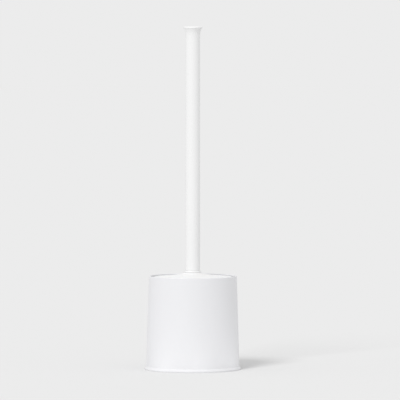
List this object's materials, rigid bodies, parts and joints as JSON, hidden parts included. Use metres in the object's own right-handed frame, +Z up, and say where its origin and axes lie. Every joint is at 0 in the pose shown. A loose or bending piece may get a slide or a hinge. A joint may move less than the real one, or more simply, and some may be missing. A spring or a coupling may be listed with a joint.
{
  "type": "toilet plunger",
  "caption": "Flange plunger with a screw-on tube handle and a soft rubber cup, standing in a tapered open holder with a snap-in drip base.",
  "frame": {"origin": "on the standing surface, on the common axis of the holder, cup and handle", "axes": "+Z up along the handle; the object is round about Z, so X and Y are free apart from the pads, which lie on the diagonals"},
  "size_m": [0.14, 0.14, 0.5],
  "materials": {
    "holder_plastic": "satin moulded white polypropylene with a very fine mould texture",
    "handle_plastic": "satin moulded white polypropylene",
    "joint_plastic": "plain moulded natural white polypropylene",
    "cup_rubber": "soft matte white thermoplastic rubber",
    "pad_rubber": "grey non-slip rubber"
  },
  "bodies": {
    "holder": {"holder_shell": "holder_plastic", "holder_base": "holder_plastic", "non_slip_pad_1": "pad_rubber", "non_slip_pad_2": "pad_rubber", "non_slip_pad_3": "pad_rubber", "non_slip_pad_4": "pad_rubber"},
    "cup": {"cup_neck": "cup_rubber", "cup_crown": "cup_rubber", "cup_skirt": "cup_rubber", "socket_insert": "joint_plastic"},
    "lip": {"cup_lip": "cup_rubber"},
    "flange": {"cup_flange": "cup_rubber"},
    "collar": {"collar_ring": "handle_plastic"},
    "handle": {"handle_tube": "handle_plastic", "handle_cap": "handle_plastic", "threaded_plug": "joint_plastic"}
  },
  "joints": [
    {"name": "plunger_lift", "type": "slide", "parent": "holder", "child": "cup", "axis": [0, 0, 1], "range_m": [0, 0.16]},
    {"name": "bell_squeeze", "type": "slide", "parent": "cup", "child": "lip", "axis": [0, 0, 1], "range_m": [0, 0.028], "stiffness_N_per_m": 1500, "deforming": ["cup_skirt"]},
    {"name": "flange_fold", "type": "slide", "parent": "lip", "child": "flange", "axis": [0, 0, 1], "range_m": [0, 0.033]},
    {"name": "handle_rise", "type": "slide", "parent": "cup", "child": "collar", "axis": [0, 0, 1], "range_m": [0, 0.0201]},
    {"name": "handle_turn", "type": "hinge", "parent": "collar", "child": "handle", "pos_m": [0, 0, 0.1443], "axis": [0, 0, 1], "range_deg": [0, 1800]}
  ],
  "couplings": [
    {"joint": "handle_rise", "follows": "handle_turn", "m_per_rad": 0.00063662}
  ]
}
